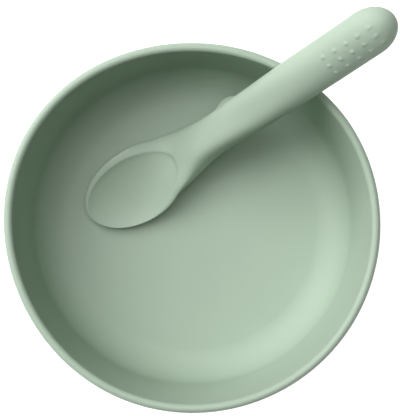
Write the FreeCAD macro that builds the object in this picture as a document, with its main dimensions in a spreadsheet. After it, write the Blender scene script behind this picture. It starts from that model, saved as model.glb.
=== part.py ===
import FreeCAD, Part
import math
import os
import Sketcher

# A baby's suction bowl and its spoon. Millimetres, +Z up. The origin is on the bowl's axis, on the table.
# The bowl stands on a push-fit suction foot (hub, skirt and release tab) and the spoon lies in the bowl
# with its handle over the rim.

V = FreeCAD.Vector

SIZES = [
    # bowl
    ("half_wall", 1.5, "half the wall's thickness, and the radius of the rim's round edge"),
    ("rim_centre", 62.0, "middle of the rim's round edge, from the axis"),
    ("rim_level", 48.8, "middle of the rim's round edge, above the table"),
    ("wall_lean", 6.5, "lean of the wall from upright, degrees"),
    ("floor_top", 10.5, "eating surface above the table"),
    ("floor_under", 7.0, "underside of the floor"),
    ("inner_corner", 12.0, "radius between floor and wall, inside"),
    ("outer_corner", 16.0, "radius between floor and wall, outside"),
    ("ring_inside", 29.0, "foot ring that presses into the hub"),
    ("ring_outside", 32.0, "foot ring that presses into the hub"),
    ("ring_bottom", 4.6, "lower end of the foot ring"),
    # hub
    ("hub_radius", 34.85, "outside of the hub"),
    ("hub_under", 3.2, "lower face of the hub's outer ring"),
    ("hub_top", 6.9, "upper face of the hub"),
    ("groove_inside", 28.95, "groove for the foot ring"),
    ("groove_outside", 32.05, "groove for the foot ring"),
    ("groove_bottom", 4.5, "bottom of the groove"),
    ("dish_radius", 26.0, "flat middle of the hub's hollow underside"),
    ("dish_edge", 27.6, "mouth of the hub's hollow underside"),
    ("dish_top", 5.1, "top of the hub's hollow underside"),
    # skirt
    ("collar_inside", 35.0, "skirt's collar round the hub"),
    ("collar_outside", 36.5, "skirt's collar round the hub"),
    ("collar_bottom", 3.3, "inner start of the flare"),
    ("collar_top", 6.2, "top of the collar"),
    ("flare_over", 39.0, "middle of the flare, upper side, from the axis"),
    ("flare_over_level", 3.2, "middle of the flare, upper side"),
    ("flare_under", 38.6, "middle of the flare, lower side, from the axis"),
    ("flare_under_level", 1.7, "middle of the flare, lower side"),
    ("lip_radius", 43.5, "outside of the sealing lip"),
    ("lip_inside", 42.0, "inside of the lip's flat"),
    ("lip_top", 0.7, "thickness of the lip"),
    # release tab
    ("tab_root", 43.65, "inner end of the tab, just clear of the lip"),
    ("tab_half_width", 8.0, "half the tab's width, and the radius of its end"),
    ("tab_end_centre", 49.0, "middle of the tab's round end, from the axis"),
    ("tab_under", 0.5, "underside of the tab above the table"),
    ("tab_thickness", 1.6, "thickness of the tab"),
    ("rib_start", 54.4, "outermost grip rib, from the axis"),
    ("rib_length", 8.0, "length of a grip rib"),
    ("rib_width", 1.0, "width of a grip rib"),
    ("rib_height", 0.5, "height of a grip rib above the tab"),
    ("rib_span", 5.0, "first rib to last rib"),
    # spoon, drawn from the tip of its head with the head's rim level
    ("head_half_length", 20.5, "spoon head, outside, from tip to heel"),
    ("head_half_width", 13.4, "spoon head, outside"),
    ("head_depth", 8.2, "spoon head, outside, below its rim"),
    ("hollow_centre", 19.0, "middle of the hollow, from the tip"),
    ("hollow_aside", -1.0, "middle of the hollow, to the left of the head's middle"),
    ("hollow_half_length", 18.4, "hollow of the head"),
    ("hollow_half_width", 11.9, "hollow of the head"),
    ("hollow_depth", 3.6, "hollow of the head"),
    ("neck_start", 36.0, "start of the neck's bend, from the tip"),
    ("neck_below", 3.6, "middle of the neck below the head's rim"),
    ("neck_bend_radius", 24.0, "radius of the neck's bend"),
    ("handle_straight", 83.2, "end of the bend to the start of the rounded end"),
    ("handle_cap", 10.5, "length of the rounded end"),
    ("handle_half_width", 7.75, "handle at its fullest"),
    ("handle_half_depth", 6.6, "handle at its fullest"),
    ("handle_crown", 0.7, "middle of the handle's sections above its middle line"),
    ("bump_along", 14.5, "rest bump under the handle, from the end of the bend"),
    ("bump_below", 3.4, "middle of the rest bump below the handle's middle"),
    ("bump_half_length", 6.6, "rest bump"),
    ("bump_half_width", 7.8, "rest bump"),
    ("bump_half_depth", 5.2, "rest bump"),
    ("core_start", 5.0, "middle of the stiffener's first round end, from the end of the bend"),
    ("core_length", 72.0, "stiffener between the middles of its round ends"),
    ("core_half_width", 3.2, "stiffener, half its width"),
    ("core_thickness", 3.0, "stiffener"),
    ("lock_hole", 1.4, "radius of the holes that the silicone locks through"),
    ("lock_pitch", 20.0, "from one locking hole to the next"),
    # how the spoon lies: its head on the floor and its handle on the rim
    ("tip_across", -37.6, "tip of the head"),
    ("tip_along", 3.7, "tip of the head"),
    ("tip_level", 16.6, "rim of the head at its tip, above the table"),
    ("head_yaw", 30.9, "way that the head points, degrees"),
    ("head_slope", 8.4, "rise of the head from tip to heel, degrees"),
    ("head_roll", 10.0, "roll of the head, degrees"),
    ("handle_yaw", 32.1, "way that the handle points, degrees"),
    ("handle_slope", 42.0, "rise of the handle, degrees"),
]

doc = FreeCAD.newDocument("suction_bowl")
sheet = doc.addObject("Spreadsheet::Sheet", "Sizes")
for row, (alias, value, meaning) in enumerate(SIZES, start=1):
    sheet.set("A%d" % row, meaning)
    sheet.set("B%d" % row, str(value))
    sheet.setAlias("B%d" % row, alias)
doc.recompute()


def size(alias):
    """A driving dimension, read back from the sheet."""
    return float(sheet.get(alias))


def new_body(label):
    body = doc.addObject("PartDesign::Body", label)
    body.Label = label
    return body


def new_sketch(body, name, role):
    """A sketch on one of the body's own origin planes."""
    sketch = body.newObject("Sketcher::SketchObject", name)
    plane = next(item for item in body.Origin.OriginFeatures if item.Role == role)
    sketch.AttachmentSupport = [(plane, "")]
    sketch.MapMode = "FlatFace"
    return sketch


def bind(sketch, constraint, alias, formula=None):
    """Add a dimension to a sketch and drive it from the sheet."""
    index = sketch.addConstraint(constraint)
    sketch.renameConstraint(index, alias + "_%d" % index)
    sketch.setExpression("Constraints[%d]" % index, formula or "Sizes." + alias)


def straight_outline(sketch, corners):
    """A closed outline of straight lines. A corner is two size names, across and up; None is zero."""
    points = [V(size(across) if across else 0.0, size(up) if up else 0.0, 0) for across, up in corners]
    count = len(points)
    for i in range(count):
        sketch.addGeometry(Part.LineSegment(points[i], points[(i + 1) % count]), False)
    for i in range(count):
        sketch.addConstraint(Sketcher.Constraint("Coincident", i, 2, (i + 1) % count, 1))
    for i, (across, up) in enumerate(corners):
        if across:
            bind(sketch, Sketcher.Constraint("DistanceX", -1, 1, i, 1, size(across)), across)
        else:
            sketch.addConstraint(Sketcher.Constraint("PointOnObject", i, 1, -2))
        if up:
            bind(sketch, Sketcher.Constraint("DistanceY", -1, 1, i, 1, size(up)), up)
        else:
            sketch.addConstraint(Sketcher.Constraint("PointOnObject", i, 1, -1))


def revolve(body, sketch, name):
    """Turn a profile once round the upright axis of its sketch."""
    turned = body.newObject("PartDesign::Revolution", name)
    turned.Profile = sketch
    turned.ReferenceAxis = (sketch, ["V_Axis"])
    turned.Angle = 360.0
    body.Tip = turned
    return turned


def build_bowl():
    """Round bowl with leaning walls, a rounded rim, a soft corner to the floor and a foot ring below."""
    body = new_body("bowl_shell")
    sketch = new_sketch(body, "bowl_profile", "XZ_Plane")
    lean = math.radians(size("wall_lean"))
    out = V(math.cos(lean), -math.sin(lean), 0)
    up = V(math.sin(lean), math.cos(lean), 0)
    rim = V(size("rim_centre"), size("rim_level"), 0)
    half = size("half_wall")

    def corner(wall_point, radius, level):
        """Centre of the arc that joins the wall to a floor at this level."""
        inside = wall_point - out * radius
        return inside - up * ((inside.y - level - radius) / up.y)

    outer = corner(rim + out * half, size("outer_corner"), size("floor_under"))
    inner = corner(rim - out * half, size("inner_corner"), size("floor_top"))
    outer_start = outer - V(0, size("outer_corner"), 0)
    outer_end = outer + out * size("outer_corner")
    inner_start = inner - V(0, size("inner_corner"), 0)
    inner_end = inner + out * size("inner_corner")
    under = size("floor_under")
    ring_low = size("ring_bottom")
    ring_in = size("ring_inside")
    ring_out = size("ring_outside")
    line = Part.LineSegment
    axis = V(0, 0, 1)

    def arc(centre, radius, start, end):
        return Part.ArcOfCircle(Part.Circle(centre, axis, radius), start, end)

    pieces = [
        line(V(0, under, 0), V(ring_in, under, 0)),
        line(V(ring_in, under, 0), V(ring_in, ring_low, 0)),
        line(V(ring_in, ring_low, 0), V(ring_out, ring_low, 0)),
        line(V(ring_out, ring_low, 0), V(ring_out, under, 0)),
        line(V(ring_out, under, 0), outer_start),
        arc(outer, size("outer_corner"), -math.pi / 2, -lean),
        line(outer_end, rim + out * half),
        arc(rim, half, -lean, math.pi - lean),
        line(rim - out * half, inner_end),
        arc(inner, size("inner_corner"), -math.pi / 2, -lean),
        line(inner_start, V(0, size("floor_top"), 0)),
        line(V(0, size("floor_top"), 0), V(0, under, 0)),
    ]
    sketch.addGeometry(pieces, False)
    rule = Sketcher.Constraint
    for first, second in ((0, 1), (1, 2), (2, 3), (3, 4), (10, 11), (11, 0)):
        sketch.addConstraint(rule("Coincident", first, 2, second, 1))
    for first, end, second, start in ((4, 2, 5, 1), (5, 2, 6, 1), (6, 2, 7, 1), (7, 2, 8, 1),
                                      (8, 2, 9, 2), (9, 1, 10, 1)):
        sketch.addConstraint(rule("Tangent", first, end, second, start))
    for level in (0, 2, 4, 10):
        sketch.addConstraint(rule("Horizontal", level))
    for upright in (1, 3):
        sketch.addConstraint(rule("Vertical", upright))
    sketch.addConstraint(rule("PointOnObject", 0, 1, -2))
    sketch.addConstraint(rule("PointOnObject", 11, 1, -2))
    bind(sketch, rule("DistanceX", -1, 1, 7, 3, rim.x), "rim_centre")
    bind(sketch, rule("DistanceY", -1, 1, 7, 3, rim.y), "rim_level")
    bind(sketch, rule("Radius", 7, half), "half_wall")
    bind(sketch, rule("Angle", -1, 1, 6, 1, math.pi / 2 - lean), "wall_lean",
         "90 deg - Sizes.wall_lean * 1 deg")
    bind(sketch, rule("Radius", 5, size("outer_corner")), "outer_corner")
    bind(sketch, rule("Radius", 9, size("inner_corner")), "inner_corner")
    bind(sketch, rule("DistanceY", -1, 1, 0, 1, under), "floor_under")
    bind(sketch, rule("DistanceY", -1, 1, 11, 1, size("floor_top")), "floor_top")
    bind(sketch, rule("DistanceY", -1, 1, 2, 1, ring_low), "ring_bottom")
    bind(sketch, rule("DistanceX", -1, 1, 2, 1, ring_in), "ring_inside")
    bind(sketch, rule("DistanceX", -1, 1, 2, 2, ring_out), "ring_outside")
    revolve(body, sketch, "bowl_turned")
    return body


def build_hub():
    """Disc that the foot ring presses into. Its underside is hollow, so that it can hold a vacuum."""
    body = new_body("suction_hub")
    sketch = new_sketch(body, "hub_profile", "XZ_Plane")
    straight_outline(sketch, [
        (None, "dish_top"), ("dish_radius", "dish_top"), ("dish_edge", "hub_under"),
        ("hub_radius", "hub_under"), ("hub_radius", "hub_top"),
        ("groove_outside", "hub_top"), ("groove_outside", "groove_bottom"),
        ("groove_inside", "groove_bottom"), ("groove_inside", "hub_top"), (None, "hub_top"),
    ])
    revolve(body, sketch, "hub_turned")
    return body


def build_skirt():
    """Thin flared cup that seals on the table: a collar round the hub, a flare and a flat lip."""
    body = new_body("suction_skirt")
    sketch = new_sketch(body, "skirt_profile", "XZ_Plane")
    straight_outline(sketch, [
        ("collar_inside", "collar_bottom"), ("flare_under", "flare_under_level"), ("lip_inside", None),
        ("lip_radius", None), ("lip_radius", "lip_top"), ("flare_over", "flare_over_level"),
        ("collar_outside", "collar_top"), ("collar_inside", "collar_top"),
    ])
    revolve(body, sketch, "skirt_turned")
    return body


def build_tab():
    """Flat tab with a round end and grip ribs. Its inner edge follows the lip of the skirt."""
    body = new_body("release_tab")
    sketch = new_sketch(body, "tab_outline", "XY_Plane")
    sketch.setExpression("AttachmentOffset.Base.z", "Sizes.tab_under")
    root = size("tab_root")
    half = size("tab_half_width")
    reach = size("tab_end_centre")
    spread = math.asin(half / root)
    depth = root * math.cos(spread)
    axis = V(0, 0, 1)
    sketch.addGeometry([
        Part.ArcOfCircle(Part.Circle(V(0, 0, 0), axis, root), -math.pi / 2 - spread, -math.pi / 2 + spread),
        Part.LineSegment(V(half, -depth, 0), V(half, -reach, 0)),
        Part.ArcOfCircle(Part.Circle(V(0, -reach, 0), axis, half), math.pi, 2 * math.pi),
        Part.LineSegment(V(-half, -reach, 0), V(-half, -depth, 0)),
    ], False)
    rule = Sketcher.Constraint
    sketch.addConstraint(rule("Coincident", 0, 2, 1, 1))
    sketch.addConstraint(rule("Tangent", 1, 2, 2, 2))
    sketch.addConstraint(rule("Tangent", 2, 1, 3, 1))
    sketch.addConstraint(rule("Coincident", 3, 2, 0, 1))
    sketch.addConstraint(rule("Coincident", 0, 3, -1, 1))
    sketch.addConstraint(rule("PointOnObject", 2, 3, -2))
    sketch.addConstraint(rule("Vertical", 1))
    bind(sketch, rule("Radius", 0, root), "tab_root")
    bind(sketch, rule("Radius", 2, half), "tab_half_width")
    bind(sketch, rule("DistanceY", 2, 3, -1, 1, reach), "tab_end_centre")
    plate = body.newObject("PartDesign::Pad", "tab_plate")
    plate.Profile = sketch
    plate.setExpression("Length", "Sizes.tab_thickness")
    body.Tip = plate
    doc.recompute()

    ribs = new_sketch(body, "rib_outline", "XY_Plane")
    ribs.setExpression("AttachmentOffset.Base.z", "Sizes.tab_under")
    across = size("rib_length") / 2
    near = -size("rib_start") + size("rib_width") / 2
    far = near - size("rib_width")
    corners = [V(-across, far, 0), V(across, far, 0), V(across, near, 0), V(-across, near, 0)]
    for i in range(4):
        ribs.addGeometry(Part.LineSegment(corners[i], corners[(i + 1) % 4]), False)
    for i in range(4):
        ribs.addConstraint(rule("Coincident", i, 2, (i + 1) % 4, 1))
    for side in (1, 3):
        ribs.addConstraint(rule("Vertical", side))
    ribs.addConstraint(rule("Horizontal", 2))
    ribs.addConstraint(rule("Symmetric", 0, 1, 0, 2, -2))
    bind(ribs, rule("DistanceX", 0, 1, 0, 2, 2 * across), "rib_length")
    bind(ribs, rule("DistanceY", 1, 1, 1, 2, near - far), "rib_width")
    bind(ribs, rule("DistanceY", 2, 2, -1, 1, -near), "rib_start", "Sizes.rib_start - Sizes.rib_width / 2")
    rib = body.newObject("PartDesign::Pad", "grip_rib")
    rib.Profile = ribs
    rib.setExpression("Length", "Sizes.tab_thickness + Sizes.rib_height")
    body.Tip = rib
    doc.recompute()
    row = body.newObject("PartDesign::LinearPattern", "grip_ribs")
    row.Originals = [rib]
    row.Direction = (ribs, ["V_Axis"])
    row.setExpression("Length", "Sizes.rib_span")
    row.Occurrences = 3
    body.Tip = row
    return body


# The spoon's own frame has its tip at the origin and the rim of its head level.
HEAD_TURN = FreeCAD.Rotation(size("head_yaw"), -size("head_slope"), size("head_roll"))
SPOON_POSE = FreeCAD.Placement(V(size("tip_across"), size("tip_along"), size("tip_level")), HEAD_TURN)
ALONG = V(1, 0, 0)


def handle_way():
    """Direction of the handle in the spoon's own frame."""
    yaw = math.radians(size("handle_yaw"))
    slope = math.radians(size("handle_slope"))
    level = math.cos(slope)
    return HEAD_TURN.inverted().multVec(V(level * math.cos(yaw), level * math.sin(yaw), math.sin(slope)))


def path_frame(distance):
    """Place and direction of the spoon's middle line: straight, then one bend, then straight again."""
    way = handle_way()
    bend = ALONG.getAngle(way)
    side = (way - ALONG * math.cos(bend)) * (1 / math.sin(bend))
    radius = size("neck_bend_radius")
    turned = min(max(distance / radius, 0.0), bend)
    start = V(size("neck_start"), 0, -size("neck_below"))
    point = start + ALONG * (radius * math.sin(turned)) + side * (radius * (1 - math.cos(turned)))
    heading = FreeCAD.Rotation(ALONG.cross(way), math.degrees(turned))
    straight = min(distance, 0.0) + max(distance - radius * bend, 0.0)
    return FreeCAD.Placement(point + heading.multVec(ALONG) * straight, heading)


def bend_length():
    return size("neck_bend_radius") * ALONG.getAngle(handle_way())


# Sections of neck and handle: distance from the start of the bend, half width, half depth, and the share
# of the crown by which the section's middle is raised.
SECTIONS = [
    (-12.0, 11.2, 3.2, 0.0), (-4.0, 10.9, 3.7, 0.0), (3.0, 9.9, 4.6, 0.3), (9.0, 8.6, 5.5, 0.7),
    (15.0, 7.5, 5.9, 1.0), (22.0, 6.95, 5.9, 1.0), (34.0, 7.1, 6.1, 1.0), (46.0, 7.4, 6.3, 1.0),
    (60.0, 7.6, 6.5, 1.0), (76.0, 7.7, 6.6, 1.0),
]
ACROSS_PATH = FreeCAD.Rotation(V(0, 1, 0), V(0, 0, 1), V(1, 0, 0))


def ellipse(name, distance, half_width, half_depth, raised):
    """One section of the neck or handle, square to the middle line."""
    ring = doc.addObject("Part::Ellipse", name)
    ring.MajorRadius = half_width
    ring.MinorRadius = half_depth
    lift = V(0, 0, size("handle_crown") * raised)
    ring.Placement = path_frame(distance).multiply(FreeCAD.Placement(lift, ACROSS_PATH))
    return ring


def ellipsoid(name, half_length, half_width, half_depth, place):
    """An ellipsoid whose three half sizes are driven from the sheet."""
    ball = doc.addObject("Part::Ellipsoid", name)
    ball.setExpression("Radius1", "Sizes." + half_depth)
    ball.setExpression("Radius2", "Sizes." + half_length)
    ball.setExpression("Radius3", "Sizes." + half_width)
    ball.Placement = place
    return ball


def core_bar(label, place):
    """Flat stiffener with round ends and four holes, lying along the handle's middle line."""
    body = new_body(label)
    sketch = new_sketch(body, label + "_outline", "XY_Plane")
    half = size("core_half_width")
    first = size("core_start")
    last = first + size("core_length")
    axis = V(0, 0, 1)
    sketch.addGeometry([
        Part.LineSegment(V(first, -half, 0), V(last, -half, 0)),
        Part.ArcOfCircle(Part.Circle(V(last, 0, 0), axis, half), -math.pi / 2, math.pi / 2),
        Part.LineSegment(V(last, half, 0), V(first, half, 0)),
        Part.ArcOfCircle(Part.Circle(V(first, 0, 0), axis, half), math.pi / 2, 3 * math.pi / 2),
    ], False)
    rule = Sketcher.Constraint
    for piece in range(4):
        sketch.addConstraint(rule("Tangent", piece, 2, (piece + 1) % 4, 1))
    sketch.addConstraint(rule("Horizontal", 0))
    sketch.addConstraint(rule("PointOnObject", 3, 3, -1))
    bind(sketch, rule("Radius", 1, half), "core_half_width")
    bind(sketch, rule("DistanceX", -1, 1, 3, 3, first), "core_start")
    bind(sketch, rule("DistanceX", 3, 3, 1, 3, last - first), "core_length")
    for i in range(4):
        hole = 4 + i
        at = first + i * size("lock_pitch") + half
        sketch.addGeometry(Part.Circle(V(at, 0, 0), axis, size("lock_hole")), False)
        sketch.addConstraint(rule("PointOnObject", hole, 3, -1))
        bind(sketch, rule("Radius", hole, size("lock_hole")), "lock_hole")
        bind(sketch, rule("DistanceX", -1, 1, hole, 3, at), "lock_pitch",
             "Sizes.core_start + Sizes.core_half_width + %d * Sizes.lock_pitch" % i)
    bar = body.newObject("PartDesign::Pad", label + "_bar")
    bar.Profile = sketch
    bar.Midplane = True
    bar.setExpression("Length", "Sizes.core_thickness")
    body.Tip = bar
    body.Placement = place
    return body


def build_spoon():
    """Silicone skin moulded round a stiff core: head with its hollow, bent neck, handle and rest bump."""
    level = FreeCAD.Rotation()
    handle = path_frame(bend_length())
    end = bend_length() + size("handle_straight")
    rings = [ellipse("neck_section", *section) for section in SECTIONS]
    for turn in (0, 20, 38, 54, 67, 78, 87):
        shrink = math.cos(math.radians(turn))
        reach = end + size("handle_cap") * math.sin(math.radians(turn))
        ring = ellipse("handle_section", reach, 1, 1, 1)
        ring.setExpression("MajorRadius", "Sizes.handle_half_width * %.6f" % shrink)
        ring.setExpression("MinorRadius", "Sizes.handle_half_depth * %.6f" % shrink)
        rings.append(ring)
    grip = doc.addObject("Part::Loft", "neck_and_handle")
    grip.Sections = rings
    grip.Solid = True
    head = ellipsoid("head_outside", "head_half_length", "head_half_width", "head_depth",
                     FreeCAD.Placement(V(size("head_half_length"), 0, 0), level))
    head.Angle2 = 0.0
    bump_at = FreeCAD.Placement(V(size("bump_along"), 0, -size("bump_below")), level)
    bump = ellipsoid("rest_bump", "bump_half_length", "bump_half_width", "bump_half_depth",
                     handle.multiply(bump_at))
    whole = grip
    for piece in (head, bump):
        joined = doc.addObject("Part::Fuse", "spoon_outside")
        joined.Base = whole
        joined.Tool = piece
        whole = joined
    scoop = ellipsoid("head_hollow", "hollow_half_length", "hollow_half_width", "hollow_depth",
                      FreeCAD.Placement(V(size("hollow_centre"), size("hollow_aside"), 0), level))
    scooped = doc.addObject("Part::Cut", "spoon_scooped")
    scooped.Base = whole
    scooped.Tool = scoop
    skin = doc.addObject("Part::Cut", "spoon_skin")
    skin.Label = "spoon_skin"
    skin.Base = scooped
    skin.Tool = core_bar("core_space", handle)
    skin.Placement = SPOON_POSE
    core = core_bar("spoon_core", SPOON_POSE.multiply(handle))
    return [skin, core]


parts = [build_bowl(), build_hub(), build_skirt(), build_tab()] + build_spoon()
doc.recompute()

for item in doc.Objects:
    if "Invalid" in item.State or "Error" in item.State:
        raise RuntimeError("%s did not build: %s" % (item.Label, item.State))
for part in parts:
    if part.Shape.isNull() or not part.Shape.isValid() or len(part.Shape.Solids) != 1:
        raise RuntimeError("%s has no single good solid" % part.Label)

os.makedirs("parts", exist_ok=True)
for part in parts:
    part.Shape.exportStep("parts/%s.step" % part.Label)
    box = part.Shape.BoundBox
    print("%-13s volume %8.0f  x %6.1f %6.1f  y %6.1f %6.1f  z %5.1f %5.1f" % (
        part.Label, part.Shape.Volume, box.XMin, box.XMax, box.YMin, box.YMax, box.ZMin, box.ZMax))
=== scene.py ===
import math

import bpy
import numpy as np
from bpy.props import FloatProperty, FloatVectorProperty, IntProperty, PointerProperty
from mathutils import Matrix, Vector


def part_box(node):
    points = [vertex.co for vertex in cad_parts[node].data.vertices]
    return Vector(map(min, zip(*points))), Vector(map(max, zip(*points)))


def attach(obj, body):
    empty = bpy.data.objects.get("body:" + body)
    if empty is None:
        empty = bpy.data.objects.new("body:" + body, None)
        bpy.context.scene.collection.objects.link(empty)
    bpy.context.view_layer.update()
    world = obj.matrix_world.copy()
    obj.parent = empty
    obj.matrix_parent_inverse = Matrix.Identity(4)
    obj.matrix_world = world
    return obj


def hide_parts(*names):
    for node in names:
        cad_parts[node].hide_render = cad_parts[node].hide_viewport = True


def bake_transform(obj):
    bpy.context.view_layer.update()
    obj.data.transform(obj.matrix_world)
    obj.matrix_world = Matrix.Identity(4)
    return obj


bl_info = {
    "name": "Suction Bowl and Spoon",
    "version": (1, 0, 0),
    "blender": (4, 5, 0),
    "location": "View3D > Sidebar > Suction Bowl",
    "description": "A baby's silicone bowl on its suction foot, with the matching spoon lying in it",
    "category": "Object",
}

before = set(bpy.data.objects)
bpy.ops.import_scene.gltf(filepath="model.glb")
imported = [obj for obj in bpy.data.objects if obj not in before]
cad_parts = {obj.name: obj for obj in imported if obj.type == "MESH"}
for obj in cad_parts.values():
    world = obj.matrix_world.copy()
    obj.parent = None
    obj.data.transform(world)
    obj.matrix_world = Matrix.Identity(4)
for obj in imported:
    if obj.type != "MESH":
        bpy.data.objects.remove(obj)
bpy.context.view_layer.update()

# Sizes are in millimetres; a mesh gets them in metres. The origin is on the bowl's axis, on the table.
MM = 0.001


def linear(colour):
    """An sRGB hex colour as the three linear numbers that shaders take."""
    parts = [int(colour[i:i + 2], 16) / 255 for i in (1, 3, 5)]
    return tuple(c / 12.92 if c <= 0.04045 else ((c + 0.055) / 1.055) ** 2.4 for c in parts)


def top_of(node):
    """Height of a CAD node's top above the table, in millimetres."""
    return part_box(node)[1].z / MM


def reach_of(node):
    """How far a CAD node reaches from the bowl's axis, in millimetres."""
    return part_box(node)[1].x / MM


# ---------------------------------------------------------------- sizes and colours that a user would change

class BowlLook(bpy.types.PropertyGroup):
    """Bowl shell"""
    rim_radius: FloatProperty(name="Rim radius", description="Outside of the rim, mm",
                              default=reach_of("bowl_shell"), min=30, max=120)
    rim_top: FloatProperty(name="Rim height", description="Top of the rim above the table, mm",
                           default=top_of("bowl_shell"), min=20, max=90)
    wall: FloatProperty(name="Wall", description="Thickness of the wall, mm", default=3.0, min=1, max=6)
    lean: FloatProperty(name="Lean", description="Lean of the wall from upright, degrees",
                        default=6.5, min=0, max=30)
    oval: FloatProperty(name="Oval", description="How far the soft rim is pulled oval, mm",
                        default=0.65, min=0, max=3)
    waver: FloatProperty(name="Waver", description="How far the soft rim wavers in three lobes, mm",
                         default=0.5, min=0, max=3)
    square: FloatProperty(name="Square", description="How far the soft rim is pulled square, mm",
                          default=0.2, min=0, max=3)


class SpoonLook(bpy.types.PropertyGroup):
    """Spoon"""
    dot_radius: FloatProperty(name="Grip dot radius", description="Radius of a raised grip dot, mm",
                              default=0.95, min=0.3, max=2)
    dot_height: FloatProperty(name="Grip dot height", description="Height of a raised grip dot, mm",
                              default=0.35, min=0, max=1)
    dot_rows: IntProperty(name="Grip dot rows", description="Rows of grip dots on the handle",
                          default=5, min=0, max=9)
    seam: FloatProperty(name="Seam height", description="Height of the mould's parting seam, mm",
                        default=0.07, min=0, max=0.3)


class SiliconeLook(bpy.types.PropertyGroup):
    """Silicone"""
    sage: FloatVectorProperty(name="Sage", description="Colour of bowl and spoon", subtype="COLOR",
                              size=3, min=0, max=1, default=linear("#9AB09A"))
    sage_deep: FloatVectorProperty(name="Deep sage", description="Colour where the pigment lies thicker",
                                   subtype="COLOR", size=3, min=0, max=1, default=linear("#95AA95"))
    foot: FloatVectorProperty(name="Foot", description="Colour of the suction foot", subtype="COLOR",
                              size=3, min=0, max=1, default=linear("#90A68F"))
    core: FloatVectorProperty(name="Core", description="Colour of the nylon stiffener", subtype="COLOR",
                              size=3, min=0, max=1, default=linear("#E4E0D4"))
    roughness: FloatProperty(name="Roughness", description="Roughness of the satin finish",
                             default=0.58, min=0, max=1, subtype="FACTOR")


class StageLook(bpy.types.PropertyGroup):
    """Stage"""
    key_power: FloatProperty(name="Key light", description="Power of the large soft light at the side, W",
                             default=28.8, min=0, max=500)
    key_side: FloatProperty(name="Key side", description="Side that the light comes from, degrees from +X",
                            default=146.0, min=0, max=360)
    key_height: FloatProperty(name="Key height", description="Light's height above the horizon, degrees",
                              default=42.0, min=5, max=90)
    top_power: FloatProperty(name="Top light", description="Power of the soft light overhead, W",
                             default=7.2, min=0, max=500)
    ambient: FloatProperty(name="Ambient", description="Brightness of the room", default=0.09, min=0, max=2)


LOOKS = {
    "bowl_look": BowlLook,
    "spoon_look": SpoonLook,
    "silicone_look": SiliconeLook,
    "stage_look": StageLook,
}


# ---------------------------------------------------------------- surfaces

# A profile's points: how many an arc gets per radian, and the closest that two of them may lie, in mm.
ARC_POINTS = 8
ARC_POINTS_AT_LEAST = 5
BIG_ARC = 4.0
CLOSEST_POINTS = 0.002


def surface(name, grid, closed_rows=False, first_pole=False, last_pole=False):
    """A mesh from a grid of points, rows x columns x 3 in millimetres, whose columns go once round.
    closed_rows joins the last row to the first; a pole draws its row together into one point.
    Faces are quads between neighbouring rows and columns, turned outwards by the sign of the volume."""
    rows, columns = grid.shape[:2]
    index = np.arange(rows * columns).reshape(rows, columns)
    if first_pole:
        index[0] = index[0, 0]
    if last_pole:
        index[-1] = index[-1, 0]
    below = np.vstack([index, index[:1]]) if closed_rows else index
    right = np.roll(below, -1, axis=1)
    quads = np.stack([below[:-1], right[:-1], right[1:], below[1:]], axis=-1).reshape(-1, 4)
    used, compact = np.unique(quads, return_inverse=True)
    quads = compact.reshape(-1, 4)
    points = grid.reshape(-1, 3)[used] * MM
    a, b, c, d = (points[quads[:, i]] for i in range(4))
    volume = np.einsum("ij,ij->i", a, np.cross(b, c)).sum() + np.einsum("ij,ij->i", a, np.cross(c, d)).sum()
    if volume < 0:
        quads = quads[:, ::-1]
    flat = quads.ravel()
    keep = flat != np.roll(quads, 1, axis=1).ravel()
    counts = keep.reshape(-1, 4).sum(axis=1)
    mesh = bpy.data.meshes.new(name)
    mesh.vertices.add(len(points))
    mesh.vertices.foreach_set("co", points.astype(np.float32).ravel())
    mesh.loops.add(int(counts.sum()))
    mesh.loops.foreach_set("vertex_index", flat[keep].astype(np.int32))
    mesh.polygons.add(len(counts))
    starts = np.concatenate([[0], np.cumsum(counts)[:-1]])
    mesh.polygons.foreach_set("loop_start", starts.astype(np.int32))
    mesh.polygons.foreach_set("use_smooth", np.ones(len(counts), bool))
    mesh.update(calc_edges=True)
    mesh.validate()
    piece = bpy.data.objects.new(name, mesh)
    bpy.context.scene.collection.objects.link(piece)
    return piece, used


def mark(piece, used, name, values):
    """Store one number per point of the grid as a named attribute that a material can read."""
    attribute = piece.data.attributes.new(name, "FLOAT", "POINT")
    attribute.data.foreach_set("value", np.asarray(values).reshape(-1)[used].astype(np.float32))


def rounded(corners, radii, longest):
    """A profile through the corners, with each inner corner replaced by an arc of its radius that is
    tangent to both neighbours, and no step between two points longer than longest."""
    corners = [np.array(corner, float) for corner in corners]
    points = [corners[0][None]]
    for before, corner, after, radius in zip(corners, corners[1:], corners[2:], radii):
        arrive = (corner - before) / np.linalg.norm(corner - before)
        leave = (after - corner) / np.linalg.norm(after - corner)
        turn = math.atan2(arrive[0] * leave[1] - arrive[1] * leave[0], arrive @ leave)
        back = radius * abs(math.tan(turn / 2))
        side = np.array([-arrive[1], arrive[0]]) * math.copysign(1, turn)
        centre = corner - arrive * back + side * radius
        count = ARC_POINTS_AT_LEAST + int(abs(turn) * ARC_POINTS * max(1, radius / BIG_ARC))
        angle = np.linspace(0, abs(turn), count)[:, None]
        points.append(centre - side * radius * np.cos(angle) + arrive * radius * np.sin(angle))
    points.append(corners[-1][None])
    points = np.vstack(points)
    length = np.concatenate([[0], np.cumsum(np.linalg.norm(np.diff(points, axis=0), axis=1))])
    places = np.union1d(length, np.arange(0, length[-1], longest))
    places = places[np.concatenate([[True], np.diff(places) > CLOSEST_POINTS])]
    return np.stack([np.interp(places, length, points[:, i]) for i in range(2)], axis=1)


def round_profile(corners, radii, longest):
    """A closed profile: every corner of the polygon is rounded, and it starts midway between the last
    corner and the first."""
    start = (np.array(corners[0], float) + np.array(corners[-1], float)) / 2
    return rounded([start, *corners, start], radii, longest)[:-1]


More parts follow.
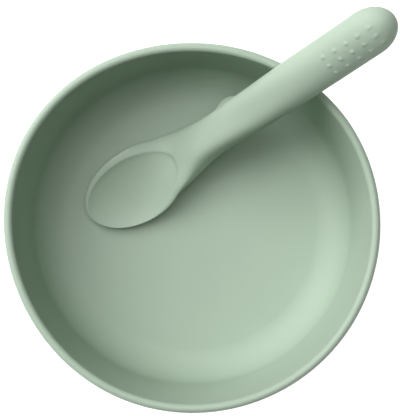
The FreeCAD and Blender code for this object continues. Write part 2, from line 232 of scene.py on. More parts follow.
def turned(profile, around):
    """Profile points (from the axis, up) turned round the upright axis at the given angles."""
    out = profile[:, :1]
    return np.stack([out * np.cos(around), out * np.sin(around),
                     np.broadcast_to(profile[:, 1:], (len(profile), len(around)))], axis=-1)


def round_angles(count):
    """Angles of that many columns, evenly once round."""
    return np.arange(count) * (2 * math.pi / count)


def smooth_step(low, high, value):
    """0 below low, 1 above high, and 3t^2 - 2t^3 between them."""
    share = np.clip((value - low) / (high - low), 0, 1)
    return share * share * (3 - 2 * share)


def soft_min(first, second, blend):
    """The lower of two heights, with the crease between them rounded over a band of that width."""
    share = np.clip(0.5 + (second - first) / (2 * blend), 0, 1)
    return second * (1 - share) + first * share - blend * share * (1 - share)


def soft_max(first, second, blend):
    """The higher of two heights, with the crease between them rounded in the same way."""
    return -soft_min(-first, -second, blend)


def through(places, knots):
    """Smooth curve through (place, value) knots: cubic between neighbours, with the mean slope at each."""
    at, value = np.array(knots, float).T
    slope = np.gradient(value, at)
    i = np.clip(np.searchsorted(at, places) - 1, 0, len(at) - 2)
    gap = at[i + 1] - at[i]
    t = np.clip((places - at[i]) / gap, 0, 1)
    return ((1 + 2 * t) * (1 - t) ** 2 * value[i] + t * (1 - t) ** 2 * gap * slope[i]
            + t * t * (3 - 2 * t) * value[i + 1] + t * t * (t - 1) * gap * slope[i + 1])


# ---------------------------------------------------------------- bowl

# Levels and radii of the floor, its corners and the foot ring under it.
FLOOR_TOP = 10.5
FLOOR_UNDER = 7.0
INNER_CORNER = 12.0
OUTER_CORNER = 16.0
RING_INSIDE = 29.0
RING_OUTSIDE = 32.0
RING_BOTTOM = 4.6
RING_ROOT = 0.1
RING_EDGE = 0.5
# Slightly less than half the wall, so that the two arcs of the rim never swallow the flat between them.
RIM_SHARE = 0.999
BOWL_COLUMNS = 312
BOWL_STEP = 1.6
# Directions of the lobes by which the soft wall is out of round, how their size grows with height, and the
# little by which the whole rim is spread.
OVAL_WAY = math.radians(-14)
WAVER_WAY = math.radians(29)
SQUARE_WAY = math.radians(-37)
SWAY_POWER = 1.3
RIM_SPREAD = 0.1
# The dip of the rim under the spoon's handle.
HANDLE_CROSSING = math.radians(50.0)
DIP_DEPTH = 0.75
DIP_WIDTH = math.radians(11)
DIP_POWER = 6
# The mould's parting seam round the outside, one wall's thickness below the rim.
BOWL_SEAM_HEIGHT = 0.06
BOWL_SEAM_WIDTH = 0.16
SEAM_SIDE = 0.6
# The band below the rim's top over which the skin turns smoother.
POLISH_FROM = 4.0
POLISH_TO = 0.5


def bowl_profile(look):
    """Half section from the middle of the eating surface, over the rim and down to the middle of the
    underside: straight floor, corner arc, leaning wall, half circle at the rim, and back outside."""
    lean = math.radians(look.lean)
    out = np.array([math.cos(lean), -math.sin(lean)])
    up = np.array([math.sin(lean), math.cos(lean)])
    half = look.wall / 2
    rim = np.array([look.rim_radius - half, look.rim_top - half])

    def wall_at(side, level):
        """Where the wall's inner (-1) or outer (1) face meets a level."""
        face = rim + out * half * side
        return face + up * ((level - face[1]) / up[1])

    corners = [
        (0, FLOOR_TOP), wall_at(-1, FLOOR_TOP), rim - out * half + up * half, rim + out * half + up * half,
        wall_at(1, FLOOR_UNDER), (RING_OUTSIDE, FLOOR_UNDER), (RING_OUTSIDE, RING_BOTTOM),
        (RING_INSIDE, RING_BOTTOM), (RING_INSIDE, FLOOR_UNDER), (0, FLOOR_UNDER),
    ]
    rim_arc = half * RIM_SHARE
    radii = [INNER_CORNER, rim_arc, rim_arc, OUTER_CORNER, RING_ROOT, RING_EDGE, RING_EDGE, RING_ROOT]
    return rounded(corners, radii, BOWL_STEP)


def build_bowl(look):
    """The profile turned once round. The upper wall of soft silicone isn't truly round: its radius
    changes by cosines of two, three and four lobes of the angle that grow with height, and the rim
    gives a little where the handle lies on it. A fine parting seam runs round the outside."""
    around = round_angles(BOWL_COLUMNS)
    profile = bowl_profile(look)
    grid = turned(profile, around)
    height = grid[..., 2]
    radius = np.hypot(grid[..., 0], grid[..., 1])
    lift = np.clip((height - FLOOR_UNDER) / (look.rim_top - FLOOR_UNDER), 0, 1) ** SWAY_POWER
    sway = (look.oval * np.cos(2 * (around - OVAL_WAY)) + look.waver * np.cos(3 * (around - WAVER_WAY))
            + look.square * np.cos(4 * (around - SQUARE_WAY)) + RIM_SPREAD)
    seam_level = look.rim_top - look.wall
    outside = radius > look.rim_radius - look.wall / 2 - SEAM_SIDE
    seam = BOWL_SEAM_HEIGHT * np.exp(-((height - seam_level) / BOWL_SEAM_WIDTH) ** 2) * outside
    grow = 1 + (sway * lift + seam) / np.maximum(radius, 1)
    away = np.angle(np.exp(1j * (around - HANDLE_CROSSING)))
    dip = DIP_DEPTH * np.exp(-(away / DIP_WIDTH) ** 2) * lift ** DIP_POWER
    grid = grid * np.stack([grow, grow, np.ones_like(grow)], axis=-1)
    grid[..., 2] -= dip
    piece, used = surface("bowl", grid, first_pole=True, last_pole=True)
    polish = smooth_step(look.rim_top - POLISH_FROM, look.rim_top - POLISH_TO, height)
    mark(piece, used, "polish", polish)
    return piece


# ---------------------------------------------------------------- spoon

# The spoon's own frame has the tip of its head at the origin, the head's rim level and +X to the handle.
TIP = (-37.6, 3.7, 16.6)
HEAD_YAW = math.radians(30.9)
HEAD_PITCH = math.radians(-8.4)
HEAD_ROLL = math.radians(10.0)
HEAD_TURN = (Matrix.Rotation(HEAD_YAW, 3, "Z") @ Matrix.Rotation(HEAD_PITCH, 3, "Y")
             @ Matrix.Rotation(HEAD_ROLL, 3, "X"))
HANDLE_YAW = math.radians(32.1)
HANDLE_SLOPE = math.radians(42.0)
HEAD_HALF_LENGTH = 20.5
HEAD_HALF_WIDTH = 13.4
HEAD_DEPTH = 8.1
RIM_ROUND = 1.1
NECK_START = 36.0
NECK_BELOW = 3.6
BEND_RADIUS = 24.0
HANDLE_STRAIGHT = 83.2
HANDLE_CAP = 10.5
# Half width and half depth of neck and handle, by distance from the start of the bend.
GIRTH = [(-12, 11.2, 3.2), (-4, 10.9, 3.7), (3, 9.9, 4.6), (9, 8.6, 5.5), (15, 7.5, 5.9), (22, 6.95, 5.9),
         (34, 7.1, 6.1), (46, 7.4, 6.3), (60, 7.6, 6.5), (76, 7.7, 6.6), (98, 7.75, 6.6)]
# The widest level of neck and handle lies this far above their middle line.
CROWN = 0.7
# Turn of the section's top to the left, degrees, by distance from the start of the bend.
TWIST = [(-40, 0), (-10, 5), (2, 27), (13, 31), (26, 25), (45, 11), (65, 1), (85, -11), (110, -17)]
# How square the top of a section is, where 2 is an ellipse: the handle's own value, and what neck and
# head add to it.
SQUARE_HANDLE = 2.1
SQUARE_NECK = 0.9
SQUARE_HEAD = 2.0
# How wide a band is blended where head and neck join, at the hollow's edge and round the rest bump.
JOIN_BLEND = 0.8
HOLLOW_BLEND = 0.45
BUMP_BLEND = 1.6
# The hollow's middle is "aside" of the head's middle, and "egg" is the share it narrows by at the heel.
HOLLOW = {"centre": 19.0, "half_length": 18.5, "half_width": 12.0, "depth": 3.3, "aside": -1.1, "egg": 0.14}
HOLLOW_POWER = 0.72
EGG_POWER = 1.5
HOLLOW_REACH = 48.0
# The rest bump lies under the neck: "along" is from the end of the bend, the rest from the middle line.
BUMP = {"along": 14.5, "below": 3.4, "half_length": 9.0, "half_width": 7.6, "half_depth": 5.2, "aside": 2.6}
SPOON_SEAM_WIDTH = 0.22
DOT_ROW_PITCH = 5.0
DOT_COLUMN_PITCH = 3.4
LAST_DOT_ROW = 5.0
DOT_POWER = 1.5
# Spans, by distance from the tip, over which the head passes into neck and handle.
NECK_WIDENS = (10, 24)
NECK_DEEPENS = (14, 26)
HEAD_TO_NECK = (22, 44)
CROWN_RISES = (34, 50)
SQUARE_HEAD_ENDS = (24, 46)
SQUARE_NECK_ENDS = (60, 120)
POLISH_ENDS = (30, 44)
SEAM_STARTS = (36, 44)
# The seam fades out over this length of the round end.
SEAM_RUN_OUT = 5
SPOON_COLUMNS = 176
HEAD_STATIONS = 100
MIDDLE_STATIONS = 330
END_STATIONS = 26
TINY = 1e-6


def handle_way():
    """Direction of the handle in the spoon's own frame."""
    level = math.cos(HANDLE_SLOPE)
    way = (level * math.cos(HANDLE_YAW), level * math.sin(HANDLE_YAW), math.sin(HANDLE_SLOPE))
    return np.array(HEAD_TURN).T @ np.array(way)


def spoon_path(distance):
    """Middle line of the spoon by distance from the start of the bend: straight, one arc, straight.
    Gives the points and, square to the line, the directions across and up."""
    way = handle_way()
    along = np.array([1.0, 0.0, 0.0])
    bend = math.acos(way[0])
    side = (way - along * math.cos(bend)) / math.sin(bend)
    turn = np.clip(distance / BEND_RADIUS, 0, bend)[:, None]
    ahead = along * np.cos(turn) + side * np.sin(turn)
    straight = (np.minimum(distance, 0) + np.maximum(distance - BEND_RADIUS * bend, 0))[:, None]
    point = (np.array([NECK_START, 0, -NECK_BELOW]) + BEND_RADIUS * (along * np.sin(turn)
             + side * (1 - np.cos(turn))) + ahead * straight)
    axis = np.cross(along, way) / math.sin(bend)
    across0 = np.array([0.0, 1.0, 0.0])

    def spun(v):
        """v turned about the bend's axis by the same angle as the line itself."""
        return (v * np.cos(turn) + np.cross(axis, v) * np.sin(turn)
                + axis * (axis @ v) * (1 - np.cos(turn)))

    return point, spun(across0), spun(np.array([0.0, 0.0, 1.0])), BEND_RADIUS * bend


def spoon_stations():
    """Distances from the tip: close together at the two round ends, even between them."""
    bend = BEND_RADIUS * math.acos(handle_way()[0])
    straight_end = NECK_START + bend + HANDLE_STRAIGHT
    head = HEAD_HALF_LENGTH * (1 - np.cos(np.linspace(0, math.pi / 2, HEAD_STATIONS)))
    middle = np.linspace(HEAD_HALF_LENGTH, straight_end, MIDDLE_STATIONS)[1:]
    end = straight_end + HANDLE_CAP * np.sin(np.linspace(0, math.pi / 2, END_STATIONS))[1:]
    return np.concatenate([head, middle, end]), straight_end


def spoon_sections(s, straight_end, t):
    """The plain sections, before bump, hollow and dots. A section at distance s has half width a, its
    widest level, b above that and c below it: side = a cos(t), rise = level + b (1 - |cos t|^n)^(1/n) on
    top and level - c (1 - |cos t|^2)^(1/2) below. In the head, a and c follow an ellipse and n is large,
    which makes a flat rim; n falls along the handle, which is nearly elliptic at its end."""
    distance = s - NECK_START
    ellipse = np.sqrt(np.clip(1 - (s / HEAD_HALF_LENGTH - 1) ** 2, 0, None))
    cap = np.sqrt(np.clip(1 - (np.clip(s - straight_end, 0, None) / HANDLE_CAP) ** 2, 0, None))
    neck_width = through(distance, [(d, w) for d, w, _ in GIRTH]) * smooth_step(*NECK_WIDENS, s)
    neck_depth = through(distance, [(d, h) for d, _, h in GIRTH])
    a = np.where(s < HEAD_HALF_LENGTH, HEAD_HALF_WIDTH * ellipse,
                 soft_max(HEAD_HALF_WIDTH * ellipse, neck_width, JOIN_BLEND)) * cap
    to_neck = smooth_step(*HEAD_TO_NECK, s)
    rim = RIM_ROUND * np.where(s < HEAD_HALF_LENGTH, ellipse, 1)
    crown = CROWN * smooth_step(*CROWN_RISES, s)
    top = NECK_BELOW * (1 - to_neck) + (neck_depth + crown) * to_neck
    head_under = NECK_BELOW - HEAD_DEPTH * ellipse
    neck_under = (neck_depth - crown) * smooth_step(*NECK_DEEPENS, s)
    under = np.where(s < NECK_DEEPENS[0], head_under, -soft_max(-head_under, neck_under, JOIN_BLEND))
    level = (top - rim) * (1 - to_neck) + crown * to_neck
    b = (top - level) * cap
    c = (level - under) * cap
    n = (SQUARE_HANDLE + SQUARE_NECK * (1 - smooth_step(*SQUARE_NECK_ENDS, s))
         + SQUARE_HEAD * (1 - smooth_step(*SQUARE_HEAD_ENDS, s)))[:, None]
    edge = np.abs(np.cos(t))
    side = a[:, None] * np.cos(t)
    rise = level[:, None] + np.where(np.sin(t) > 0, b[:, None] * (1 - edge ** n) ** (1 / n),
                                     -c[:, None] * np.sqrt(np.clip(1 - edge ** 2, 0, None)))
    return side, rise, c


def push_bump(side, rise, along):
    """Push the sections out to the rest bump. Each point moves away from the middle line to where its ray
    leaves the bump's ellipsoid, which is the larger root of p x^2 + 2 q x + r = 0."""
    share = (along - BUMP["along"]) / BUMP["half_length"]
    size = np.sqrt(np.clip(1 - share ** 2, 0, None))[:, None] + TINY
    reach = np.hypot(side, rise)
    ray = np.stack([side, rise]) / np.maximum(reach, TINY)
    p = ray[0] ** 2 / BUMP["half_width"] ** 2 + ray[1] ** 2 / BUMP["half_depth"] ** 2
    q = ray[1] * BUMP["below"] / BUMP["half_depth"] ** 2 - ray[0] * BUMP["aside"] / BUMP["half_width"] ** 2
    r = (BUMP["below"] / BUMP["half_depth"]) ** 2 + (BUMP["aside"] / BUMP["half_width"]) ** 2 - size ** 2
    hit = (-q + np.sqrt(np.clip(q * q - p * r, 0, None))) / p * (q * q > p * r)
    pushed = np.where(np.abs(share)[:, None] < 1, soft_max(reach, hit, BUMP_BLEND), reach)
    grow = np.maximum(pushed, reach) / np.maximum(reach, TINY)
    return side * grow, rise * grow


def scoop_hollow(side, rise, s, upper):
    """Lower the head's top to the hollow, an ellipsoid that narrows to the heel like an egg and is
    blended with the rim."""
    along_share = (s[:, None] - HOLLOW["centre"]) / HOLLOW["half_length"]
    hollow_width = HOLLOW["half_width"] * (1 - HOLLOW["egg"] * np.clip(along_share, 0, 1) ** EGG_POWER)
    across_share = (side - HOLLOW["aside"]) / hollow_width
    inside = 1 - across_share ** 2 - along_share ** 2
    hollow = NECK_BELOW - HOLLOW["depth"] * np.sign(inside) * np.abs(inside) ** HOLLOW_POWER
    return np.where(upper & (s[:, None] < HOLLOW_REACH), soft_min(rise, hollow, HOLLOW_BLEND), rise)


def spoon_seam(look, s, straight_end, t, c):
    """How far the parting seam stands out at the two sides, from the neck to the end of the handle."""
    height = look.seam * np.exp(-((np.abs(np.sin(t)) * c[:, None]) / SPOON_SEAM_WIDTH) ** 2)
    fade_in = smooth_step(*SEAM_STARTS, s)[:, None]
    fade_out = 1 - smooth_step(straight_end, straight_end + SEAM_RUN_OUT, s)[:, None]
    return height * fade_in * fade_out * np.sign(np.cos(t))


def grip_dots(look, s, side, last_row):
    """Heights of the raised grip dots, which stand in rows of three near the end of the handle."""
    dots = np.zeros_like(side)
    for row in range(look.dot_rows):
        for column in (-1, 0, 1):
            away = np.hypot(s[:, None] - (last_row - DOT_ROW_PITCH * row), side - DOT_COLUMN_PITCH * column)
            dots += np.clip(1 - (away / look.dot_radius) ** 2, 0, None) ** DOT_POWER
    return look.dot_height * dots


def build_spoon(look):
    """Sections carried along the middle line, each turned a little about it: plain sections, then the rest
    bump below, the hollow in the head, the parting seam and the grip dots."""
    s, straight_end = spoon_stations()
    distance = s - NECK_START
    point, across, up, bend = spoon_path(distance)
    t = round_angles(SPOON_COLUMNS)[None, :]
    upper = np.sin(t) > 1e-9
    side, rise, c = spoon_sections(s, straight_end, t)
    side, rise = push_bump(side, rise, distance - bend)
    rise = scoop_hollow(side, rise, s, upper)
    side = side + spoon_seam(look, s, straight_end, t, c)
    rise = rise + grip_dots(look, s, side, straight_end + LAST_DOT_ROW) * upper
    twist = np.radians(through(distance, TWIST))[:, None]
    side, rise = side * np.cos(twist) + rise * np.sin(twist), rise * np.cos(twist) - side * np.sin(twist)
    grid = point[:, None] + across[:, None] * side[..., None] + up[:, None] * rise[..., None]
    grid = grid @ np.array(HEAD_TURN).T + np.array(TIP)
    piece, used = surface("spoon", grid, first_pole=True, last_pole=True)
    polish = np.broadcast_to((1 - smooth_step(*POLISH_ENDS, s))[:, None], rise.shape)
    mark(piece, used, "polish", polish)
    return piece


# ---------------------------------------------------------------- suction foot

# The hub fits the bowl's foot ring with a little play at each side and below.
RING_PLAY = 0.05
HUB_TOP = 6.9
HUB_RADIUS = 34.85
HUB_BOTTOM = 3.2
GROOVE_BOTTOM = 4.5
HUB_HOLLOW_TOP = 5.1
HUB_HOLLOW_RADIUS = 26.0
HUB_FOOT_RADIUS = 27.6
HUB_COLUMNS = 256
HUB_STEP = 1.5

# The skirt's collar stands round the hub; its lip is the flat ring that seals on the table.
COLLAR_RADIUS = 35.0
COLLAR_TOP = 6.2
COLLAR_BOTTOM = 3.3
LIP_INSIDE = 42.0
LIP_OUTSIDE = 43.5
LIP_TOP = 0.7
TABLE_GAP = 0.02
SKIRT_COLUMNS = 288
SKIRT_STEP = 0.5


def build_hub():
    """A turned disc with a groove for the bowl's foot ring and a hollow underside. The radii round its
    corners in the same order, from the groove's inner edge on."""
    groove_inside = RING_INSIDE - RING_PLAY
    groove_outside = RING_OUTSIDE + RING_PLAY
    corners = [
        (0, HUB_TOP), (groove_inside, HUB_TOP), (groove_inside, GROOVE_BOTTOM),
        (groove_outside, GROOVE_BOTTOM), (groove_outside, HUB_TOP),
        (HUB_RADIUS, HUB_TOP), (HUB_RADIUS, HUB_BOTTOM),
        (HUB_FOOT_RADIUS, HUB_BOTTOM), (HUB_HOLLOW_RADIUS, HUB_HOLLOW_TOP), (0, HUB_HOLLOW_TOP),
    ]
    profile = rounded(corners, [0.25, 0.3, 0.3, 0.25, 0.5, 0.5, 0.6, 1.2], HUB_STEP)
    grid = turned(profile, round_angles(HUB_COLUMNS))
    piece, used = surface("hub", grid, first_pole=True, last_pole=True)
    mark(piece, used, "polish", np.zeros(grid.shape[:2]))
    return piece


def build_skirt():
    """A thin flared cup: a closed profile of collar, flare and sealing lip, turned once round. The polish
    grows from the flare to the lip, which has to be glossy to seal."""
    corners = [
        (COLLAR_RADIUS, COLLAR_BOTTOM), (38.6, 1.7), (LIP_INSIDE, TABLE_GAP), (LIP_OUTSIDE, TABLE_GAP),
        (LIP_OUTSIDE, LIP_TOP), (39.0, 3.2), (36.5, COLLAR_TOP), (COLLAR_RADIUS, COLLAR_TOP),
    ]
    profile = round_profile(corners, [0.4, 6.0, 0.8, 0.3, 0.3, 5.0, 0.6, 0.4], SKIRT_STEP)
    grid = turned(profile, round_angles(SKIRT_COLUMNS))
    piece, used = surface("skirt", grid, closed_rows=True)
    shine = smooth_step(37, LIP_INSIDE, profile[:, :1])
    mark(piece, used, "polish", np.broadcast_to(shine, grid.shape[:2]))
    return piece


# The release tab points to -Y. Its root, end and middle are distances from the bowl's axis; its under
# and top are heights above the table.
TAB_ROOT = 43.65
TAB_HALF_WIDTH = 8.0
TAB_END_CENTRE = 49.0
TAB_UNDER = 0.5
TAB_TOP = 2.1
TAB_MIDDLE = 50.4
TAB_EDGE_SHARE = 0.9
TAB_SIDE_START = 0.35
ROOT_POINTS = 60
SIDE_POINTS = 23
END_POINTS = 100
EDGE_ROWS = 15
DISC_ROWS = 45
# Three grip ribs across its top: where, how high, and where their ends and sides fade out.
RIB_PLACES = (54.4, 51.9, 49.4)
RIB_HEIGHT = 0.5
RIB_END = (3.5, 4.1)
RIB_SIDE = (0.2, 0.6)


def build_tab():
    """A flat tongue: straight sides, a round end, and a root that follows the lip. Rings run from the
    middle of the top, over a rounded edge, to the middle of the underside; each ring is the outline
    drawn in along its own normal at the edge and towards the middle inside it. Three grip ribs."""
    spread = math.asin(TAB_HALF_WIDTH / TAB_ROOT)
    root = np.linspace(-spread, spread, ROOT_POINTS)[1:-1]
    end = np.linspace(0, math.pi, END_POINTS)
    side_start = TAB_ROOT * math.cos(spread) + TAB_SIDE_START
    straight = np.linspace(side_start, TAB_END_CENTRE, SIDE_POINTS + 1)[:-1]
    side = np.full(SIDE_POINTS, TAB_HALF_WIDTH)
    x = np.concatenate([TAB_ROOT * np.sin(root), side, TAB_HALF_WIDTH * np.cos(end), -side])
    y = -np.concatenate([TAB_ROOT * np.cos(root), straight, TAB_END_CENTRE + TAB_HALF_WIDTH * np.sin(end),
                         straight[::-1]])
    outline = np.stack([x, y], axis=1)
    step = np.roll(outline, -1, axis=0) - np.roll(outline, 1, axis=0)
    normal = np.stack([step[:, 1], -step[:, 0]], axis=1) / np.linalg.norm(step, axis=1)[:, None]
    half = (TAB_TOP - TAB_UNDER) / 2
    bow = np.linspace(0, math.pi, EDGE_ROWS)
    inward = half * TAB_EDGE_SHARE * (1 - np.sin(bow))
    edge_up = half * np.cos(bow)
    middle = np.array([0, -TAB_MIDDLE])
    inner = outline + normal * inward[0]
    share = np.linspace(0, 1, DISC_ROWS + 1)[:-1, None, None]
    disc = middle + (inner - middle) * share
    rim = outline + normal * inward[:, None, None]
    flat = np.concatenate([disc, rim, disc[::-1]])
    level = np.concatenate([np.full(DISC_ROWS, half), edge_up, np.full(DISC_ROWS, -half)])
    top = level[:, None] > half * 0.99
    height = (TAB_TOP + TAB_UNDER) / 2 + np.broadcast_to(level[:, None], flat.shape[:2]).copy()
    for place in RIB_PLACES:
        long = 1 - smooth_step(*RIB_END, np.abs(flat[..., 0]))
        wide = 1 - smooth_step(*RIB_SIDE, np.abs(flat[..., 1] + place))
        height += RIB_HEIGHT * long * wide * top
    grid = np.concatenate([flat, height[..., None]], axis=-1)
    piece, used = surface("tab", grid, first_pole=True, last_pole=True)
    mark(piece, used, "polish", np.zeros(height.shape))
    return piece


# ---------------------------------------------------------------- materials

def add_node(tree, kind, settings, links):
    """Add one shader node. settings are attributes or input values by name; links feed inputs by name."""
    made = tree.nodes.new(kind)
    for key, value in settings.items():
        if key in made.inputs:
            made.inputs[key].default_value = value
        else:
            setattr(made, key, value)
    for key, source in links.items():
        tree.links.new(source, made.inputs[key])
    return made


def blank(name):
    """A new material with only its output node."""
    material = bpy.data.materials.new(name)
    material.use_nodes = True
    tree = material.node_tree
    tree.nodes.clear()
    return material, tree, tree.nodes.new("ShaderNodeOutputMaterial")


def per_mm(size):
    """Texture scale that gives features of this size, because Object coordinates are in metres."""
    return 1.0 / (size * MM)


# Sizes of the silicone's patterns in mm: clouds of pigment, smears of gloss, ripples and blasted grain.
CLOUD_SIZE = 22
SMEAR_SIZE = 9
RIPPLE_SIZE = 7
GRAIN_SIZE = 0.35
# How much smoother than the rest a polished skin is.
POLISH_GAIN = -0.08
# Where the foot's pigment lies thicker, its colour is this share of itself.
FOOT_DEEPER = 0.93
NYLON_FIBRE_SIZE = 0.8
TABLE_MOTTLE_SIZE = 120
TABLE_GLOW = 0.96


def silicone(name, colour, deep, roughness):
    """Platinum-cured silicone, compression moulded in a bead-blasted steel mould.
    Opaque and softly satin: broad dull highlights, a faint clouding of the pigment, a very fine grain,
    a little light carried under the surface, and smoother skin wherever the polish attribute is high."""
    material, tree, output = blank(name)
    place = add_node(tree, "ShaderNodeTexCoord", {}, {}).outputs["Object"]
    cloud = add_node(tree, "ShaderNodeTexNoise",
                     {"Scale": per_mm(CLOUD_SIZE), "Detail": 3.0, "Roughness": 0.5}, {"Vector": place})
    tint = add_node(tree, "ShaderNodeMix", {"data_type": "RGBA"}, {})
    tint.inputs[6].default_value = (*colour, 1)
    tint.inputs[7].default_value = (*deep, 1)
    tree.links.new(cloud.outputs["Fac"], tint.inputs[0])
    polish = add_node(tree, "ShaderNodeAttribute", {"attribute_name": "polish"}, {}).outputs["Fac"]
    smear = add_node(tree, "ShaderNodeTexNoise",
                     {"Scale": per_mm(SMEAR_SIZE), "Detail": 4.0, "Roughness": 0.6}, {"Vector": place})
    spread = {"From Min": 0.3, "From Max": 0.7, "To Min": roughness - 0.03, "To Max": roughness + 0.04}
    uneven = add_node(tree, "ShaderNodeMapRange", spread, {"Value": smear.outputs["Fac"]})
    rough = add_node(tree, "ShaderNodeMath", {"operation": "MULTIPLY_ADD"},
                     {0: polish, 2: uneven.outputs["Result"]})
    rough.inputs[1].default_value = POLISH_GAIN
    blast = add_node(tree, "ShaderNodeTexNoise",
                     {"Scale": per_mm(GRAIN_SIZE), "Detail": 2.0, "Roughness": 0.6}, {"Vector": place})
    ripple = add_node(tree, "ShaderNodeTexNoise",
                      {"Scale": per_mm(RIPPLE_SIZE), "Detail": 1.0, "Roughness": 0.4}, {"Vector": place})
    broad = add_node(tree, "ShaderNodeBump", {"Strength": 0.12, "Distance": 0.4 * MM},
                     {"Height": ripple.outputs["Fac"]})
    fine = add_node(tree, "ShaderNodeBump", {"Strength": 0.22, "Distance": 0.03 * MM},
                    {"Height": blast.outputs["Fac"], "Normal": broad.outputs["Normal"]})
    shader = add_node(tree, "ShaderNodeBsdfPrincipled",
                      {"IOR": 1.41, "Specular IOR Level": 0.35, "Subsurface Weight": 0.12,
                       "Subsurface Scale": 0.9 * MM, "Subsurface Radius": (1.0, 1.15, 0.9)},
                      {"Base Color": tint.outputs[2], "Roughness": rough.outputs[0],
                       "Normal": fine.outputs["Normal"]})
    tree.links.new(shader.outputs[0], output.inputs[0])
    return material


def natural_nylon(colour):
    """Undyed glass-filled nylon, injection moulded: milky off-white, matt, with short fibre streaks."""
    material, tree, output = blank("nylon_natural_moulded")
    place = add_node(tree, "ShaderNodeTexCoord", {}, {}).outputs["Object"]
    fibres = add_node(tree, "ShaderNodeTexNoise",
                      {"Scale": per_mm(NYLON_FIBRE_SIZE), "Detail": 3.0, "Roughness": 0.7},
                      {"Vector": place})
    tint = add_node(tree, "ShaderNodeMix", {"data_type": "RGBA"}, {})
    tint.inputs[6].default_value = (*(c * 0.9 for c in colour), 1)
    tint.inputs[7].default_value = (*colour, 1)
    tree.links.new(fibres.outputs["Fac"], tint.inputs[0])
    bump = add_node(tree, "ShaderNodeBump", {"Strength": 0.3, "Distance": 0.04 * MM},
                    {"Height": fibres.outputs["Fac"]})
    shader = add_node(tree, "ShaderNodeBsdfPrincipled", {"IOR": 1.53, "Roughness": 0.55},
                      {"Base Color": tint.outputs[2], "Normal": bump.outputs["Normal"]})
    tree.links.new(shader.outputs[0], output.inputs[0])
    return material


def light_table():
    """Opal acrylic top of a light table, lit evenly from below, so that nothing on it casts a shadow."""
    material, tree, output = blank("acrylic_opal_backlit")
    place = add_node(tree, "ShaderNodeTexCoord", {}, {}).outputs["Object"]
    mottle = add_node(tree, "ShaderNodeTexNoise",
                      {"Scale": per_mm(TABLE_MOTTLE_SIZE), "Detail": 2.0, "Roughness": 0.5},
                      {"Vector": place})
    level = add_node(tree, "ShaderNodeMapRange", {"To Min": 0.27, "To Max": 0.31},
                     {"Value": mottle.outputs["Fac"]})
    acrylic = {"Roughness": 0.8, "IOR": 1.45,
               "Emission Color": (1, 1, 1, 1), "Emission Strength": TABLE_GLOW}
    shader = add_node(tree, "ShaderNodeBsdfPrincipled", acrylic, {"Base Color": level.outputs["Result"]})
    tree.links.new(shader.outputs[0], output.inputs[0])
    return material


def finish_piece(piece, material, body, node):
    """Give a new piece its material and its body, and hide the CAD node that it stands for.
    A piece that moves with two bodies gets no single body here."""
    piece.data.materials.append(material)
    if body:
        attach(piece, body)
    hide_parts(node)


# ---------------------------------------------------------------- operators

# The stage, in mm and degrees: a light table, a large soft light at one side, a smaller one overhead.
TABLE_HALF = 3000.0
TABLE_LEVEL = -0.05
LIGHT_AWAY = 1300.0
LIGHT_COLOUR = (1.0, 0.92, 1.0)
KEY_ACROSS = 1400
TOP_ACROSS = 900
TOP_SIDE = 100
TOP_HEIGHT = 82
ROOM_COLOUR = (0.94, 1.0, 0.97, 1)
CAMERA_AT = (2.7, 6.3, 500.0)
CAMERA_LENS = 114.9
CAMERA_SENSOR = 36


def silicone_of(scene, foot=False):
    """The one silicone material of bowl and spoon, or that of the foot, made when first asked for."""
    look = scene.silicone_look
    name = "silicone_foot_gloss_lip" if foot else "silicone_sage_satin"
    found = bpy.data.materials.get(name)
    if found:
        return found
    colour = tuple(look.foot) if foot else tuple(look.sage)
    deep = tuple(c * FOOT_DEEPER for c in colour) if foot else tuple(look.sage_deep)
    return silicone(name, colour, deep, look.roughness)


class AddBowl(bpy.types.Operator):
    """Add the bowl shell with its rounded rim and foot ring"""
    bl_idname = "suction_bowl.add_bowl"
    bl_label = "Add Bowl"

    def execute(self, context):
        piece = build_bowl(context.scene.bowl_look)
        finish_piece(piece, silicone_of(context.scene), "bowl", "bowl_shell")
        return {"FINISHED"}


class AddSpoon(bpy.types.Operator):
    """Add the spoon that lies in the bowl, and finish the stiffener inside it"""
    bl_idname = "suction_bowl.add_spoon"
    bl_label = "Add Spoon"

    def execute(self, context):
        piece = build_spoon(context.scene.spoon_look)
        finish_piece(piece, silicone_of(context.scene), "spoon", "spoon_skin")
        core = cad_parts["spoon_core"]
        core.data.materials.clear()
        core.data.materials.append(natural_nylon(tuple(context.scene.silicone_look.core)))
        return {"FINISHED"}


class AddFoot(bpy.types.Operator):
    """Add the suction foot: hub, skirt and release tab"""
    bl_idname = "suction_bowl.add_foot"
    bl_label = "Add Suction Foot"

    def execute(self, context):
        material = silicone_of(context.scene, foot=True)
        finish_piece(build_hub(), material, "hub", "suction_hub")
        skirt = build_skirt()
        finish_piece(skirt, material, None, "suction_skirt")
        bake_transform(skirt)
        finish_piece(build_tab(), material, "tab", "release_tab")
        return {"FINISHED"}


def soft_light(context, name, side, height, across, power):
    """A round soft light of that width in millimetres, LIGHT_AWAY from the bowl and turned towards it."""
    side, height = math.radians(side), math.radians(height)
    way = np.array([math.cos(height) * math.cos(side), math.cos(height) * math.sin(side), math.sin(height)])
    light = bpy.data.lights.new(name, "AREA")
    light.shape = "DISK"
    light.size = across * MM
    light.energy = power
    light.color = LIGHT_COLOUR
    made = bpy.data.objects.new(name, light)
    made.matrix_world = Matrix.Translation(way * LIGHT_AWAY * MM) @ (
        Matrix.Rotation(side + math.pi / 2, 4, "Z") @ Matrix.Rotation(math.pi / 2 - height, 4, "X"))
    context.scene.collection.objects.link(made)


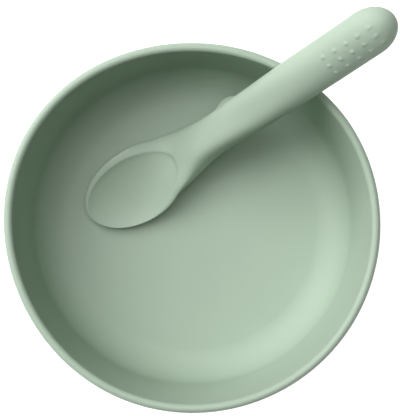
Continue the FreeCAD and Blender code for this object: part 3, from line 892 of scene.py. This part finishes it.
class AddStage(bpy.types.Operator):
    """Add the light table, the two soft lights, the room's light and the camera"""
    bl_idname = "suction_bowl.add_stage"
    bl_label = "Add Stage"

    def execute(self, context):
        look = context.scene.stage_look
        half = TABLE_HALF * MM
        corners = [(-half, -half), (half, -half), (half, half), (-half, half)]
        floor_mesh = bpy.data.meshes.new("floor")
        floor_mesh.from_pydata([(x, y, TABLE_LEVEL * MM) for x, y in corners], [], [(0, 1, 2, 3)])
        floor = bpy.data.objects.new("floor", floor_mesh)
        floor.data.materials.append(light_table())
        context.scene.collection.objects.link(floor)

        world = bpy.data.worlds.new("room")
        world.use_nodes = True
        sky = world.node_tree.nodes["Background"]
        sky.inputs["Color"].default_value = ROOM_COLOUR
        sky.inputs["Strength"].default_value = look.ambient
        context.scene.world = world

        soft_light(context, "key", look.key_side, look.key_height, KEY_ACROSS, look.key_power)
        soft_light(context, "top", TOP_SIDE, TOP_HEIGHT, TOP_ACROSS, look.top_power)

        camera = bpy.data.cameras.new("camera")
        camera.lens = CAMERA_LENS
        camera.sensor_width = CAMERA_SENSOR
        camera_object = bpy.data.objects.new("camera", camera)
        camera_object.location = [place * MM for place in CAMERA_AT]
        context.scene.collection.objects.link(camera_object)
        context.scene.camera = camera_object
        context.scene.view_settings.view_transform = "Standard"
        return {"FINISHED"}


OPERATORS = [AddBowl, AddSpoon, AddFoot, AddStage]


class SuctionBowlPanel(bpy.types.Panel):
    """Sizes, colours and buttons of the suction bowl"""
    bl_idname = "VIEW3D_PT_suction_bowl"
    bl_label = "Suction Bowl"
    bl_space_type = "VIEW_3D"
    bl_region_type = "UI"
    bl_category = "Suction Bowl"

    def draw(self, context):
        for name, kind in LOOKS.items():
            box = self.layout.box()
            box.label(text=kind.__doc__)
            group = getattr(context.scene, name)
            for key in kind.__annotations__:
                box.prop(group, key)
        for kind in OPERATORS:
            self.layout.operator(kind.bl_idname)


def register():
    for kind in [*LOOKS.values(), *OPERATORS, SuctionBowlPanel]:
        bpy.utils.register_class(kind)
    for name, kind in LOOKS.items():
        setattr(bpy.types.Scene, name, PointerProperty(type=kind))


def unregister():
    for name in LOOKS:
        delattr(bpy.types.Scene, name)
    for kind in [SuctionBowlPanel, *OPERATORS[::-1], *reversed(LOOKS.values())]:
        bpy.utils.unregister_class(kind)


def main():
    """Build everything."""
    register()
    for kind in OPERATORS:
        area, name = kind.bl_idname.split(".")
        getattr(getattr(bpy.ops, area), name)()


if __name__ == "__main__":
    main()
